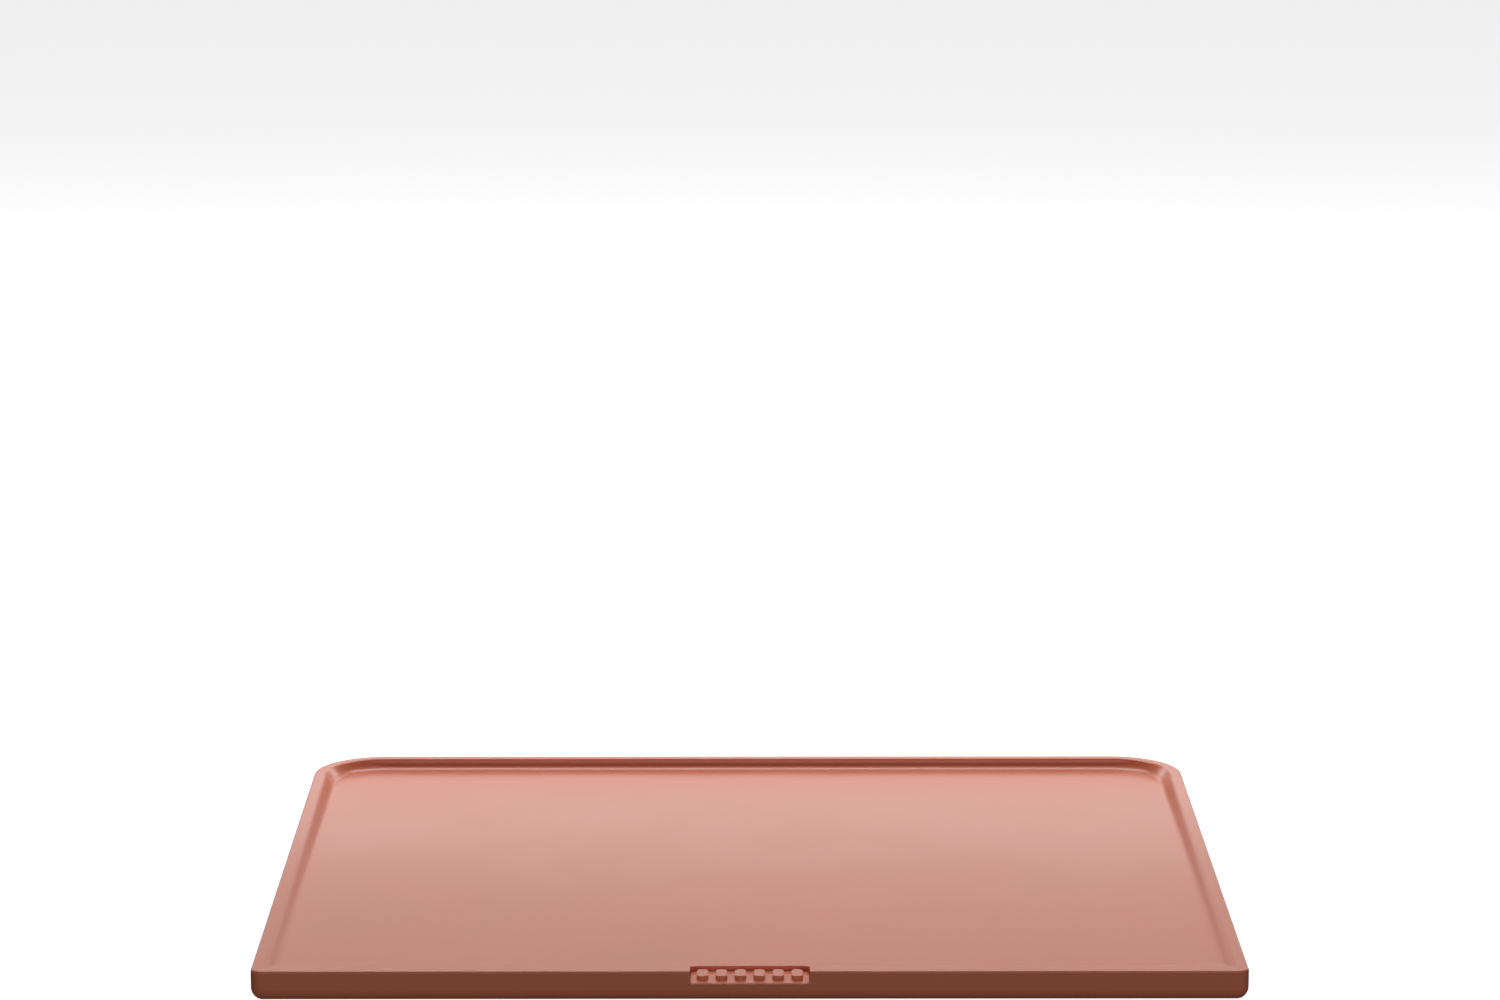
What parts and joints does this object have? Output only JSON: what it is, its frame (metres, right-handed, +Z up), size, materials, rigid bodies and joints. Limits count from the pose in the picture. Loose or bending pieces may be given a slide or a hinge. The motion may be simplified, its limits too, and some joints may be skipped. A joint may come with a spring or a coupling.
{
  "type": "countertop tray",
  "caption": "Shallow rectangular countertop tray with a low raised rim, rounded back corners, a front slot holding a plain badge, a closed base and rubber feet.",
  "frame": {"origin": "middle of the tray in plan, on the plane that the four feet stand on", "axes": "+X to the right along the long side, -Y towards the front side with the badge slot, +Z up out of the dish"},
  "size_m": [0.4, 0.355, 0.0137],
  "materials": {
    "body_terracotta": "satin, smooth moulded, terracotta rose",
    "panel_brown": "fine matt texture, dark terracotta brown",
    "badge_terracotta": "satin, in the body's own colour",
    "foot_rubber": "matt black rubber"
  },
  "bodies": {
    "root": {"tray_body": "body_terracotta", "underside_panel": "panel_brown", "badge_plate": "badge_terracotta", "foot_front_left": "foot_rubber", "foot_front_right": "foot_rubber", "foot_back_left": "foot_rubber", "foot_back_right": "foot_rubber"}
  },
  "joints": []
}
